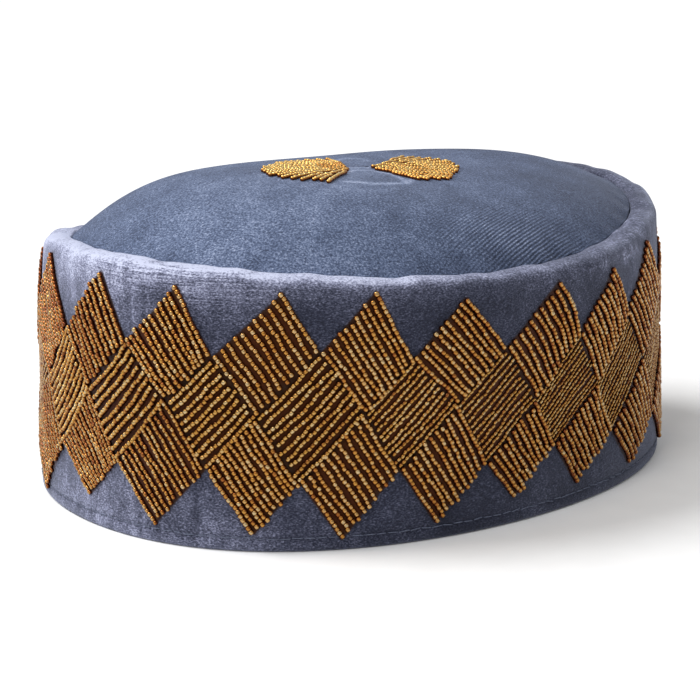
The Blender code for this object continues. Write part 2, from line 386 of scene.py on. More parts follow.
def wall_lean(height):
    """Return how far the velvet stands outside the oval at heights of the mean wall."""
    low = np.clip((BULGE_HEIGHT - height) / (BULGE_HEIGHT - HEM_FOLD), 0.0, 1.0)
    high = np.clip((height - BULGE_HEIGHT) / (WALL_HEIGHT - BULGE_HEIGHT), 0.0, 1.0)
    over = np.clip(height - SHOULDER, 0.0, RIM_RADIUS)
    turned = RIM_RADIUS - np.sqrt(RIM_RADIUS ** 2 - over ** 2)
    return HEM_FLARE * low ** 2 - TOP_LEAN * high ** 2 - turned


def swell_sum(swells, turn, level):
    """Return the listed swells at shares of one turn and of the wall's height."""
    angle = 2.0 * math.pi * turn
    total = 0.0
    for swell in swells:
        total = total + swell.size * np.sin(swell.turns * angle + swell.lean * level + swell.start)
    return total


def cloth_wobble(turn, height):
    """Return the small hollows and swells of the hand-made wall."""
    level = height / WALL_HEIGHT
    return swell_sum(WALL_SWELLS, turn, level) * np.clip(level * SWELL_FADE, 0.0, 1.0)


def wall_points(turn, height, outward):
    """Return points by their share of one turn, height on the mean wall and place outside the oval."""
    x, y = plan_point(turn)
    normal_x, normal_y = plan_normal(turn)
    factor = wave_sum(RIM_WAVES, 2.0 * math.pi * turn)
    return np.stack([x + normal_x * outward, y + normal_y * outward, height * factor], axis=-1)


def velvet_points(turn, height, above):
    """Return points on the outer velvet of the wall, raised from it by a distance."""
    return wall_points(turn, height, wall_lean(height) + cloth_wobble(turn, height) + above)


def place_in_scene(name, mesh):
    """Add a mesh to the scene as a piece of the cap."""
    piece = bpy.data.objects.new(name, mesh)
    bpy.context.scene.collection.objects.link(piece)
    return piece


def quad_mesh(name, points, quads):
    """Return a smooth mesh from an array of points and an array of four-sided faces."""
    mesh = bpy.data.meshes.new(name)
    mesh.vertices.add(len(points))
    mesh.vertices.foreach_set("co", np.ascontiguousarray(points, dtype=np.float32).ravel())
    mesh.loops.add(quads.size)
    mesh.loops.foreach_set("vertex_index", np.ascontiguousarray(quads, dtype=np.int32).ravel())
    mesh.polygons.add(len(quads))
    mesh.polygons.foreach_set("loop_start", np.arange(0, quads.size, 4, dtype=np.int32))
    mesh.update(calc_edges=True)
    mesh.shade_smooth()
    return mesh


def ring_quads(rows, columns, close_rows):
    """Return the faces of a grid that closes round its columns, looking outwards."""
    index = np.arange(rows * columns).reshape(rows, columns)
    if close_rows:
        index = np.vstack([index, index[:1]])
    following = np.roll(index, -1, axis=1)
    return np.stack([index[:-1], following[:-1], following[1:], index[1:]], axis=-1).reshape(-1, 4)


def add_values(mesh, name, values):
    """Store one number for each point of a mesh, which its material reads by name."""
    layer = mesh.attributes.new(name, "FLOAT", "POINT")
    layer.data.foreach_set("value", np.ascontiguousarray(values, dtype=np.float32).ravel())


# Places of the lattice's corners in view: how far each stands from its even place, as a share
# of one repeat along the wall and in millimetres upwards. The first is at the left of the view.
CORNER_SHIFTS = {
    4: [(-0.15, 2.6), (-0.01, 1.4), (-0.04, 0.2), (0.04, 0.8), (-0.03, 2.4), (-0.04, -0.3), (0.21, 0.7),
        (0.12, -1.0), (0.07, 0.7), (0.90, 0.0), (0.50, 0.6), (0.25, -0.4), (0.10, 0.5)],
    3: [(0.01, -0.3), (-0.04, 0.1), (-0.07, -1.0), (-0.01, 1.9), (-0.07, -0.7), (0.03, 0.0), (0.06, -0.2),
        (-0.01, 0.1), (0.12, 0.3), (0.32, 0.4), (0.22, -0.3), (0.10, 0.5)],
    2: [(0.14, 0.7), (0.0, 1.7), (0.05, 3.0), (-0.04, 0.3), (0.02, 1.5), (0.01, 2.6), (0.03, -0.6),
        (-0.02, -1.2), (-0.04, 0.5), (0.25, 0.3), (0.30, 0.8), (0.18, 0.2), (0.08, 0.5)],
    1: [(0.05, -0.8), (0.02, 0.2), (0.05, 2.0), (-0.03, -1.1), (-0.03, 1.5), (-0.04, 0.1), (-0.13, 1.6),
        (-0.13, -1.3), (-0.05, -2.9), (0.15, -0.6), (0.20, 0.5), (0.12, 0.9), (0.05, -0.2)],
    0: [(0.18, -0.6), (0.18, 5.3), (0.08, 1.4), (0.11, 1.2), (-0.03, -1.0), (-0.05, 1.4), (-0.10, 4.6),
        (-0.19, 3.7), (-0.17, 2.0), (0.05, -0.3), (0.10, 0.6), (0.12, 1.2), (0.05, 0.4)],
}
FIRST_CORNERS = {4: -1, 3: 0, 2: -1, 1: -1, 0: -2}
SPARE_SHIFTS = RANDOM.uniform(-1.0, 1.0, (5, LATTICE_REPEATS, 2)) * np.array([0.05, 1.0])


def corner_place(level, repeat):
    """Return the place of a lattice corner; level 4 holds the top points and level 0 the lowest."""
    even = repeat + (3 - level) * STEEP_SHARE + max(0, level - 3)
    place = (repeat - FIRST_CORNERS[level]) % LATTICE_REPEATS
    shifts = CORNER_SHIFTS[level]
    if place < len(shifts):
        along, rise = shifts[place]
    else:
        along, rise = SPARE_SHIFTS[level][place]
    turn = 0.5 + (even + along) / LATTICE_REPEATS
    return np.array([turn * GIRTH, LATTICE_BOTTOM + DIAMOND_RISE * level + rise * MILLIMETRE])


def diamond_corners(row, repeat):
    """Return a diamond's left, bottom, right and top corners, as running length and height."""
    left = corner_place(row + 1, repeat)
    bottom = corner_place(row, repeat)
    right = corner_place(row + 1, repeat + 1)
    top = corner_place(row + 2, repeat + (0 if row == 2 else 1))
    return left, bottom, right, top


def strand_beads(start, end, bow, radius):
    """Return the beads of one thread on the wall: place, direction, radius, length and tone of each."""
    reach = end - start
    length = np.hypot(*reach)
    count = max(2, round(length / BEAD_PITCH))
    share = (np.arange(count) + 0.5) / count
    aside = np.array([-reach[1], reach[0]]) / length
    phase = RANDOM.uniform(0.0, 2.0 * math.pi)
    wave = THREAD_WAVE * np.sin(RANDOM.uniform(*THREAD_WAVE_TURNS) * share + phase)
    wave = wave + RANDOM.normal(0.0, BEAD_SCATTER, count)
    place = start + share[:, None] * reach + (wave + 4.0 * bow * share * (1.0 - share))[:, None] * aside
    sizes = radius * RANDOM.uniform(*BEAD_SIZES, count)
    lengths = (length / count) * RANDOM.uniform(*BEAD_LENGTHS, count)
    tones = np.clip(RANDOM.normal(RANDOM.uniform(*THREAD_TONES), TONE_SCATTER, count), 0.0, 1.0)
    return np.column_stack([place, np.broadcast_to(reach / length, (count, 2)), sizes, lengths, tones])


def diamond_beads(row, repeat):
    """Return the beads of one diamond: steep threads in the outer rows, flat ones in the middle row."""
    left, bottom, right, top = diamond_corners(row, repeat)
    look = ROW_LOOKS[row]
    order = (repeat - look.first) % LATTICE_REPEATS
    threads = look.threads[order % len(look.threads)]
    bow = look.bows[order] if order < len(look.bows) else RANDOM.uniform(-HIDDEN_BOW, HIDDEN_BOW)
    size = look.sizes[order % len(look.sizes)]
    radius = min(BEAD_RADIUS, BEAD_SHARE * look.width / threads) * size
    lines = []
    for thread in range(threads):
        place = thread + FIRST_THREAD + THREAD_SPREAD * thread / (threads - 1)
        share = (place + RANDOM.uniform(-THREAD_JITTER, THREAD_JITTER)) / threads
        if row == 1:
            start = left + share * (bottom - left)
            end = top + share * (right - top)
        else:
            start = left + share * (top - left)
            end = bottom + share * (right - bottom)
        reach = (end - start) / np.hypot(*(end - start))
        start = start + reach * RANDOM.uniform(*THREAD_STARTS)
        end = end - reach * RANDOM.uniform(*THREAD_ENDS)
        bend = bow * (LEAST_BEND + BEND_GAIN * share) if row == 2 else bow
        lines.append(strand_beads(start, end, bend * MILLIMETRE, radius))
    return np.vstack(lines)


def wall_bead_mesh(name, beads):
    """Return a mesh of beads that lie on the wall's velvet."""
    along, height, run, climb, radii, lengths, tones = beads.T
    turn = along / GIRTH
    centres = velvet_points(turn, height, radii - BEAD_SINK)
    ahead = velvet_points(turn + run * AHEAD_STEP / GIRTH, height + climb * AHEAD_STEP, radii - BEAD_SINK)
    return bead_mesh(name, centres, ahead - centres, wall_normals(turn, height), radii, lengths, tones)


def wall_normals(turn, height):
    """Return the outward directions of the wall's velvet."""
    step = SLOPE_STEP / GIRTH
    along = velvet_points(turn + step, height, 0.0) - velvet_points(turn - step, height, 0.0)
    up = velvet_points(turn, height + SLOPE_STEP, 0.0) - velvet_points(turn, height - SLOPE_STEP, 0.0)
    return unit(np.cross(along, up))


def unit(vectors):
    """Return vectors scaled to length one."""
    return vectors / np.linalg.norm(vectors, axis=-1, keepdims=True)


def bead_mesh(name, centres, axes, normals, radii, lengths, tones):
    """Return one mesh of short drilled beads, each with its own axis, outward direction, size and tone."""
    count = len(centres)
    axes = unit(unit(axes) + RANDOM.normal(0.0, BEAD_TILT, (count, 3)))
    sides = unit(np.cross(normals, axes))
    tops = np.cross(axes, sides)
    angles = (np.arange(BEAD_SIDES) + 0.5) * 2.0 * math.pi / BEAD_SIDES
    shape = []
    for along, width in BEAD_PROFILE:
        for angle in angles:
            shape.append((along, width * math.cos(angle), width * math.sin(angle)))
    shape = np.array(shape)
    points = centres[:, None, :]
    points = points + shape[None, :, 0, None] * lengths[:, None, None] * axes[:, None, :]
    points = points + shape[None, :, 1, None] * radii[:, None, None] * sides[:, None, :]
    points = points + shape[None, :, 2, None] * radii[:, None, None] * tops[:, None, :]
    quads = bead_quads()
    offsets = (np.arange(count) * len(shape))[:, None, None]
    mesh = quad_mesh(name, points.reshape(-1, 3), (quads[None] + offsets).reshape(-1, 4))
    # The height on each bead gives its painted light: lit tops, shaded sides
    add_values(mesh, "lift", np.broadcast_to(shape[:, 2], (count, len(shape))))
    add_values(mesh, "tone", np.repeat(tones, len(shape)))
    return mesh


def bead_quads():
    """Return the faces of one bead: its sides ring by ring, and its two ends."""
    rings = len(BEAD_PROFILE)
    quads = []
    for ring in range(rings - 1):
        for side in range(BEAD_SIDES):
            following = (side + 1) % BEAD_SIDES
            low = ring * BEAD_SIDES
            high = low + BEAD_SIDES
            quads.append((low + side, low + following, high + following, high + side))
    last = (rings - 1) * BEAD_SIDES
    for first in (1, 3, 5):
        quads.append((0, (first + 2) % BEAD_SIDES, first + 1, first))
        quads.append((last, last + first, last + first + 1, last + (first + 2) % BEAD_SIDES))
    return np.array(quads)


def zigzag(levels):
    """Return the running length and height of the corners on an edge of the beadwork, for a whole turn."""
    corners = []
    for repeat in range(-1, LATTICE_REPEATS + 1):
        for level, step in levels:
            corners.append(corner_place(level, repeat + step))
    corners = np.array(corners)
    corners[:, 0] -= GIRTH / 2
    return corners[np.argsort(corners[:, 0])].T


def lattice_cover(along, height):
    """Return how far places on the wall lie inside the whole beadwork, in millimetres."""
    top_along, top_height = zigzag([(3, 0), (4, 0)])
    low_along, low_height = zigzag([(1, 0), (0, 0)])
    along = np.mod(along - GIRTH / 2, GIRTH)
    below_top = np.interp(along, top_along, top_height) - height
    above_low = height - np.interp(along, low_along, low_height)
    return np.minimum(below_top, above_low) * EDGE_SLANT * PER_METRE


def lattice_depth(along, height):
    """Return how far places on the wall lie inside their own beaded diamond, in millimetres."""
    inside = np.full(np.broadcast(along, height).shape, OUTSIDE)
    for row in range(3):
        for repeat in range(LATTICE_REPEATS):
            corners = diamond_corners(row, repeat)
            middle = sum(corner[0] for corner in corners) / 4
            x = np.mod(along - middle + GIRTH / 2, GIRTH) - GIRTH / 2
            depth = np.full(inside.shape, -OUTSIDE)
            for first, second in zip(corners, corners[1:] + corners[:1]):
                edge = (second - first) / np.hypot(*(second - first))
                away = edge[0] * (height - first[1]) - edge[1] * (x + middle - first[0])
                depth = np.minimum(depth, away * PER_METRE)
            inside = np.maximum(inside, depth)
    return inside


def arc_section(height, outward, radius, arc):
    """Return points of the wall's section on an arc, at angles in degrees."""
    angles = [math.radians(degrees) for degrees in arc]
    return [(height + radius * math.sin(angle), outward + radius * math.cos(angle), OUTER)
            for angle in angles]


def outer_section():
    """Return the velvet side of the wall's section, from under the hem over the rim into the seam."""
    section = arc_section(HEM_ROUND, HEM_FLARE - HEM_ROUND, HEM_ROUND, HEM_ARC)
    for height in np.concatenate([HEM_HEIGHTS, np.linspace(FACE_FOOT, SHOULDER, WALL_ROWS)]):
        groove = STITCH_GROOVE * math.exp(-((height - STITCH_HEIGHT) / GROOVE_WIDTH) ** 2)
        section.append((height, float(wall_lean(height)) - groove, OUTER))
    middle = float(wall_lean(SHOULDER)) - RIM_RADIUS
    section += arc_section(SHOULDER, middle, RIM_RADIUS, RIM_ARC)
    for share in RIM_SHARES:
        outward = middle + share * (SEAM_OUTWARD + SEAM_ROUND - middle)
        height = WALL_HEIGHT - RIM_DIP * share ** 2 + RIM_PUFF * math.sin(math.pi * share)
        section.append((height, outward, OUTER))
    seam = WALL_HEIGHT - RIM_DIP - SEAM_ROUND
    return section + arc_section(seam, SEAM_OUTWARD + SEAM_ROUND, SEAM_ROUND, SEAM_ARC)


def inner_section():
    """Return the plain side of the wall's section, from the seam down to the hem."""
    top = WALL_HEIGHT - WALL_THICKNESS
    corner = float(wall_lean(SHOULDER - INNER_STEP)) - WALL_THICKNESS - INNER_CORNER
    section = [(top, SEAM_OUTWARD, INNER), (top - INNER_SLOPE, SEAM_OUTWARD + INNER_LEDGE, INNER),
               (top - INNER_STEP, corner, INNER)]
    for height in np.linspace(SHOULDER - INNER_STEP - INNER_DROP, HEM_ROUND, INNER_ROWS):
        section.append((height, float(wall_lean(height)) - WALL_THICKNESS, INNER))
    return section


def bump_round(turn, middle, width):
    """Return a smooth hump round the turn, one at the middle and nothing past its width."""
    away = np.abs(np.mod(turn - middle + 0.5, 1.0) - 0.5)
    return np.exp(-((away / width) ** 2))


def hump(turn, part):
    """Return a listed hump round the turn, with its strength at the middle."""
    return part.strength * bump_round(turn, part.middle, part.width)


def build_wall(velvet, backing):
    """The velvet wall with its rounded hem, turned rim and plain inner side, in one closed mesh."""
    section = outer_section() + inner_section()
    turn = np.arange(WALL_COLUMNS)[None, :] / WALL_COLUMNS
    height = np.array([part[0] for part in section])[:, None]
    outward = np.array([part[1] for part in section])[:, None]
    wobble = cloth_wobble(turn, height)
    points = wall_points(turn, height, outward + wobble)
    top = np.clip((height - SHOULDER) / RIM_RADIUS, 0.0, 1.0)
    points[:, :, 2] += top * rim_ripple(turn)
    quads = ring_quads(len(section), WALL_COLUMNS, True)
    mesh = quad_mesh("velvet_side_wall", points.reshape(-1, 3), quads)
    kinds = np.array([part[2] for part in section])
    shown = np.repeat(kinds, WALL_COLUMNS)
    mesh.materials.append(velvet)
    mesh.materials.append(backing)
    mesh.polygons.foreach_set("material_index", shown.astype(np.int32))
    outer = (kinds == OUTER)[:, None]
    along = np.broadcast_to(turn * GIRTH, wobble.shape)
    level = np.broadcast_to(height, wobble.shape)
    beaded = outer & (outward > float(wall_lean(WALL_HEIGHT - BEADED_BELOW_TOP)))
    # Inside the beadwork the material paints shade between the beads and a red glow of the amber glass
    add_values(mesh, "cover", np.where(beaded, lattice_cover(along, level), OUTSIDE))
    add_values(mesh, "depth", np.where(beaded, lattice_depth(along, level), OUTSIDE))
    add_values(mesh, "pile_and_painted_light", wall_pile_and_painted_light(turn, height, outward))
    add_values(mesh, "fold", wall_folds(turn, height))
    add_values(mesh, "rub", np.where(outer, wall_rub(turn, height), 0.0))
    add_values(mesh, "streak", np.broadcast_to(STREAK_BASE + hump(turn, STREAK_HUMP), wobble.shape))
    wall = place_in_scene("velvet_side_wall", mesh)
    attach(wall, "root")
    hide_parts("side_wall")


def rim_ripple(turn):
    """Return the small ups and downs of the turned rim."""
    return swell_sum(RIM_SWELLS, turn, 0.0) - hump(turn, RIM_DENT)


def wall_pile_and_painted_light(turn, height, outward):
    """Return how pale the wall's pile is painted, from 0 to 1: paler on the left of the view where the light
    falls, a painted glow at its left edge, and painted highlights on the turned rim, the band below it and
    the front-left hem.
    """
    on_rim = np.clip((RIM_EDGE - outward) / RIM_EDGE_FADE, 0.0, 1.0)
    left = hump(turn, LEFT_HUMP)
    near_rim = np.exp(-((WALL_HEIGHT - height) / (RIM_BAND + RIM_BAND_LEFT * left)) ** 2)
    part = np.mod(turn, 1.0)
    pale = np.clip((PALE_TO - part) / PALE_FADE, 0.0, 1.0)
    pale = pale * np.clip((part - PALE_FROM) / PALE_FADE, 0.0, 1.0)
    pile_and_painted_light = WALL_NAP
    for pale_part in PAINTED_LIGHT_HUMPS:
        pile_and_painted_light = pile_and_painted_light + hump(turn, pale_part)
    pile_and_painted_light = pile_and_painted_light + HEM_PAINTED_LIGHT * np.exp(-(height / HEM_BAND) ** 2) * hump(turn, HEM_HUMP)
    pile_and_painted_light = pile_and_painted_light + (ON_RIM.base + ON_RIM.pale * pale + ON_RIM.left * left) * on_rim
    return pile_and_painted_light + (NEAR_RIM.base + NEAR_RIM.pale * pale + NEAR_RIM.left * left) * near_rim


def wall_rub(turn, height):
    """Return where the pile is rubbed into pale veins, below the rim at the right of the view."""
    below = height - WALL_HEIGHT + RUB_RIDGE_DEPTH
    ridge = np.exp(-(below / RUB_RIDGE_WIDTH) ** 2) * hump(turn, RUB_RIDGE)
    side = np.clip((height - RUB_SIDE_FOOT) / RUB_SIDE_RISE, 0.0, 1.0)
    side = RUB_SIDE_SHARE * side * hump(turn, RUB_SIDE)
    return np.clip(ridge + side, 0.0, 1.0)


def wall_folds(turn, height):
    """Return where the pile is creased along the turned rim, from 0 to 1."""
    below = (WALL_HEIGHT - height) / CREASE_BAND
    return np.clip(1.0 - below, 0.0, 1.0) * hump(turn, CREASE_HUMP) * (height > CREASE_FOOT)


SEAM_TURNS = np.arange(CROWN_COLUMNS) / CROWN_COLUMNS


def crown_edge():
    """Return the crown's outline in the seam."""
    x, y = plan_point(SEAM_TURNS)
    normal_x, normal_y = plan_normal(SEAM_TURNS)
    outward = SEAM_OUTWARD - PIECE_GAP
    return np.stack([x + normal_x * outward, y + normal_y * outward], axis=-1)


def crown_height(x, y):
    """Return the height of the crown's velvet over arrays of x and y."""
    angle = np.mod(np.arctan2(y, x) - EDGE_ANGLES[0], 2.0 * math.pi) + EDGE_ANGLES[0]
    angles = np.append(EDGE_ANGLES, EDGE_ANGLES[0] + 2.0 * math.pi)
    edge = np.interp(angle, angles, np.append(EDGE_RADII, EDGE_RADII[0]))
    turn = np.interp(angle, angles, np.append(SEAM_TURNS, 1.0))
    reach = np.clip(np.hypot(x, y) / edge, 0.0, 1.0)
    factor = wave_sum(RIM_WAVES, 2.0 * math.pi * turn)
    base = (WALL_HEIGHT - RIM_DIP - SEAM_DEPTH) * (1.0 + (factor - 1.0) * reach ** 2)
    puff = CROWN_RISE * (1.0 - reach ** CROWN_FULLNESS) ** CROWN_SOFTNESS
    slope = CROWN_SLOPE_LENGTHWISE * x + CROWN_SLOPE_CROSSWISE * y
    swell = CROWN_SWELL * np.sin(x / CROWN_SWELL_LENGTHS[0] + CROWN_SWELL_STARTS[0])
    swell = swell * np.sin(y / CROWN_SWELL_LENGTHS[1] + CROWN_SWELL_STARTS[1]) * (1.0 - reach ** 4)
    pucker = PUCKER * np.sin(2.0 * math.pi * turn * PUCKER_COUNT)
    pucker = pucker * np.exp(-((1.0 - reach) / PUCKER_BAND) ** 2)
    return base + puff + slope * (1.0 - reach ** 2) + swell + pucker * (reach < PUCKER_REACH)


EDGE = crown_edge()
EDGE_ANGLES = np.unwrap(np.arctan2(EDGE[:, 1], EDGE[:, 0]))
EDGE_RADII = np.hypot(EDGE[:, 0], EDGE[:, 1])


def crown_normals(x, y):
    """Return the outward directions of the crown's velvet."""
    step = SLOPE_STEP
    return unit(np.stack([crown_height(x - step, y) - crown_height(x + step, y),
                          crown_height(x, y - step) - crown_height(x, y + step),
                          np.full(x.shape, 2 * step)], axis=-1))


def build_crown(velvet, backing):
    """The padded crown panel with its edge tucked into the seam, in one closed mesh."""
    edge_rows = 1.0 - CROWN_EDGE_BAND * np.linspace(0.0, 1.0, CROWN_EDGE_ROWS) ** CROWN_EDGE_POWER
    outer = np.concatenate([edge_rows, np.linspace(CROWN_FIRST, CROWN_MIDDLE, CROWN_ROWS)])
    inner = np.linspace(CROWN_MIDDLE, 1.0, INNER_ROWS)
    rings = []
    for reach in outer:
        x, y = (EDGE * reach).T
        rings.append(np.stack([x, y, crown_height(x, y)], axis=-1))
    for reach in inner:
        x, y = (EDGE * min(reach, CROWN_LAST)).T
        rings.append(np.stack([x, y, crown_height(x, y) - CROWN_THICKNESS], axis=-1))
    points = np.array(rings)
    low = WALL_HEIGHT - WALL_THICKNESS - SEAM_DEPTH
    points[-1, :, :2] = EDGE
    points[-1, :, 2] = low * wave_sum(RIM_WAVES, 2.0 * math.pi * SEAM_TURNS)
    quads = ring_quads(len(points), CROWN_COLUMNS, True)
    mesh = quad_mesh("velvet_crown", points.reshape(-1, 3), quads)
    mesh.materials.append(velvet)
    mesh.materials.append(backing)
    under = np.zeros(len(points), dtype=np.int32)
    under[len(outer) - 1:-1] = 1
    mesh.polygons.foreach_set("material_index", np.repeat(under, CROWN_COLUMNS))
    x = points[:, :, 0]
    y = points[:, :, 1]
    add_values(mesh, "pile_and_painted_light", crown_pile_and_painted_light(x, y))
    add_values(mesh, "press", pressed_marks(x, y))
    add_values(mesh, "twill", twill_patch(x, y))
    crown = place_in_scene("velvet_crown", mesh)
    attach(crown, "root")
    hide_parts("crown")


def crown_pile_and_painted_light(x, y):
    """Return how pale the crown's pile is painted, from 0 to 1: painted light, paler to the left of the view
    where the light falls, darker towards both ends across the view and paler near the front.
    """
    across = (x * VIEW_RIGHT[0] + y * VIEW_RIGHT[1]) / CROWN_ACROSS
    near = -(x * VIEW_AWAY[0] + y * VIEW_AWAY[1]) / CROWN_AWAY
    pile_and_painted_light = CROWN_NAP - PAINTED_LIGHT_ACROSS * across - ENDS_DARKER * across ** 2
    return pile_and_painted_light + FRONT_PALER * np.clip(near, *FRONT_PALER_RANGE)


def pressed_marks(x, y):
    """Return where the pile is pressed into pale lines round the middle of the crown, from 0 to 1."""
    marks = np.zeros(x.shape)
    for line, strength in PRESSED_LINES:
        away = np.full(x.shape, 1.0)
        for first, second in zip(line, line[1:]):
            start = np.array(first) * MILLIMETRE
            reach = np.array(second) * MILLIMETRE - start
            share = ((x - start[0]) * reach[0] + (y - start[1]) * reach[1]) / np.sum(reach ** 2)
            share = np.clip(share, 0.0, 1.0)
            gap = np.hypot(x - start[0] - share * reach[0], y - start[1] - share * reach[1])
            away = np.minimum(away, gap)
        marks = np.maximum(marks, strength * np.exp(-((away / PRESS_WIDTH) ** 2)))
    return marks


def twill_patch(x, y):
    """Return where the ground weave shows through the pile, at the front of the crown."""
    along = (x - TWILL_PLACE[0]) / TWILL_SIZE[0]
    away = (y - TWILL_PLACE[1]) / TWILL_SIZE[1]
    return np.exp(-along ** 2 - away ** 2)


def fan_reach(fan, swing):
    """Return a fan's outer radius where swing runs from -1 on its right side to 1 on its left."""
    return FAN_LENGTH * np.interp(swing, FAN_SIDE_PLACES, fan.sides)


def fan_beads(fan):
    """Return the beads of a fan's radiating threads; more threads start where there is room for them."""
    spread = math.radians(fan.half_spread)
    step = FAN_THREAD_PITCH / FAN_FULL_RADIUS
    sides = math.floor(spread / step)
    rows = []
    for number in range(-sides, sides + 1):
        swing = number * step / spread
        level = 0
        while level < FAN_SPLITS and number % (2 ** (level + 1)) == 0:
            level += 1
        start = max(FAN_START, FAN_SPLIT * FAN_FULL_RADIUS / 2 ** level) + RANDOM.uniform(*FAN_STARTS)
        end = float(fan_reach(fan, swing)) + RANDOM.uniform(*FAN_ENDS)
        if end - start < FAN_SHORTEST:
            continue
        count = max(2, round((end - start) / FAN_BEAD_PITCH))
        radius = start + (np.arange(count) + 0.5) / count * (end - start)
        angle = math.radians(fan.direction) + number * step + RANDOM.normal(0.0, FAN_TURN_SCATTER)
        angle = angle + RANDOM.normal(0.0, FAN_BEAD_SCATTER, count) / radius
        tone = np.clip(RANDOM.normal(fan.tone, FAN_TONE_SCATTER, count), 0.0, 1.0)
        tone = np.where(radius < fan.red_tip * FAN_LENGTH, tone - FAN_RED_SHIFT, tone)
        sizes = FAN_BEAD_RADIUS * RANDOM.uniform(*FAN_BEAD_SIZES, count)
        lengths = (end - start) / count * RANDOM.uniform(*FAN_BEAD_LENGTHS, count)
        rows.append(np.column_stack([radius, angle, sizes, lengths, tone]))
    return np.vstack(rows)


def build_fan(fan, gold):
    """One fan of beads on the crown, in one mesh."""
    radius, angle, sizes, lengths, tone = fan_beads(fan).T
    x = fan.tip_x + radius * np.cos(angle)
    y = fan.tip_y + radius * np.sin(angle)
    normals = crown_normals(x, y)
    centres = np.stack([x, y, crown_height(x, y)], axis=-1) + normals * (sizes - BEAD_SINK)[:, None]
    axes = np.stack([np.cos(angle), np.sin(angle), np.zeros(x.shape)], axis=-1)
    axes = axes - normals * np.sum(axes * normals, axis=-1, keepdims=True)
    mesh = bead_mesh(fan.name + "_beads", centres, axes, normals, sizes, lengths, tone)
    mesh.materials.append(gold)
    piece = place_in_scene(fan.name + "_beads", mesh)
    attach(piece, "root")
    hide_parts(fan.name)


def build_lattice(gold):
    """The strung beads of the three rows of diamonds, each row in two halves of the turn."""
    for row, row_name in enumerate(("bottom", "middle", "top")):
        for half, half_name in enumerate(("front", "back")):
            first = half * LATTICE_REPEATS // 2
            beads = [diamond_beads(row, first + step) for step in range(LATTICE_REPEATS // 2)]
            name = f"lattice_beads_{row_name}_{half_name}"
            mesh = wall_bead_mesh(name, np.vstack(beads))
            mesh.materials.append(gold[row])
            piece = place_in_scene(name, mesh)
            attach(piece, "root")
            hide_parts("bead_lattice")


def build_hem_stitches(thread):
    """The running stitch that holds the hem, sunk in its groove."""
    count = round(GIRTH / STITCH_PITCH)
    places = (np.arange(count) + 0.5) / count * GIRTH
    beads = np.column_stack([
        places,
        np.full(count, STITCH_HEIGHT) + RANDOM.normal(0.0, STITCH_SCATTER, count),
        np.ones(count),
        np.zeros(count),
        np.full(count, STITCH_RADIUS),
        STITCH_LENGTH * RANDOM.uniform(*STITCH_LENGTHS, count),
        RANDOM.uniform(*STITCH_TONES, count),
    ])
    clear = lattice_cover(beads[:, 0], beads[:, 1]) < STITCH_CLEAR
    mesh = wall_bead_mesh("hem_stitches", beads[clear])
    mesh.materials.append(thread)
    piece = place_in_scene("hem_stitches", mesh)
    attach(piece, "root")


def set_inputs(tree, node, values):
    """Set a node's inputs by name or number; a value that is a socket is linked."""
    for name, value in values.items():
        if isinstance(value, bpy.types.NodeSocket):
            tree.links.new(value, node.inputs[name])
        else:
            node.inputs[name].default_value = value


def add_node(tree, kind, values, **settings):
    """Add a node with its settings and its input values."""
    node = tree.nodes.new(kind)
    for name, value in settings.items():
        setattr(node, name, value)
    set_inputs(tree, node, values)
    return node


def math_node(tree, operation, first, second, clamp=False):
    """Return the result of a calculation with two numbers or sockets."""
    node = add_node(tree, "ShaderNodeMath", {0: first, 1: second}, operation=operation, use_clamp=clamp)
    return node.outputs[0]


def attribute(tree, name):
    """Return the number that the mesh stores under a name."""
    return add_node(tree, "ShaderNodeAttribute", {}, attribute_name=name).outputs["Fac"]


def noise(tree, scale, detail=2.0, roughness=0.5, stretch=(1.0, 1.0, 1.0), turn=0.0):
    """Return noise over the object's own coordinates, stretched along its axes."""
    place = add_node(tree, "ShaderNodeTexCoord", {}).outputs["Object"]
    if turn:
        place = add_node(tree, "ShaderNodeVectorRotate", {"Vector": place, "Angle": turn},
                         rotation_type="Z_AXIS").outputs[0]
    moved = add_node(tree, "ShaderNodeVectorMath", {0: place, 1: stretch}, operation="MULTIPLY").outputs[0]
    values = {"Vector": moved, "Scale": scale, "Detail": detail, "Roughness": roughness}
    return add_node(tree, "ShaderNodeTexNoise", values).outputs[0]


def ramp(tree, value, stops):
    """Return a colour from a list of places and colours."""
    node = add_node(tree, "ShaderNodeValToRGB", {"Fac": value})
    elements = node.color_ramp.elements
    elements[0].position, elements[0].color = stops[0][0], (*stops[0][1], 1.0)
    elements[1].position, elements[1].color = stops[-1][0], (*stops[-1][1], 1.0)
    for place, colour in stops[1:-1]:
        element = elements.new(place)
        element.color = (*colour, 1.0)
    return node.outputs["Color"]


def mix_colours(tree, share, first, second):
    """Return a mix of two colours by a share."""
    values = {0: share, 6: first, 7: second}
    return add_node(tree, "ShaderNodeMix", values, data_type="RGBA", clamp_factor=True).outputs[2]


def start_material(name):
    """Return a new material's tree and its Principled shader."""
    material = bpy.data.materials.new(name)
    material.use_nodes = True
    return material, material.node_tree, material.node_tree.nodes["Principled BSDF"]


def spread(tree, value, amount):
    """Return how far a noise value lies from its middle, times an amount."""
    return math_node(tree, "MULTIPLY", math_node(tree, "SUBTRACT", value, 0.5), amount)


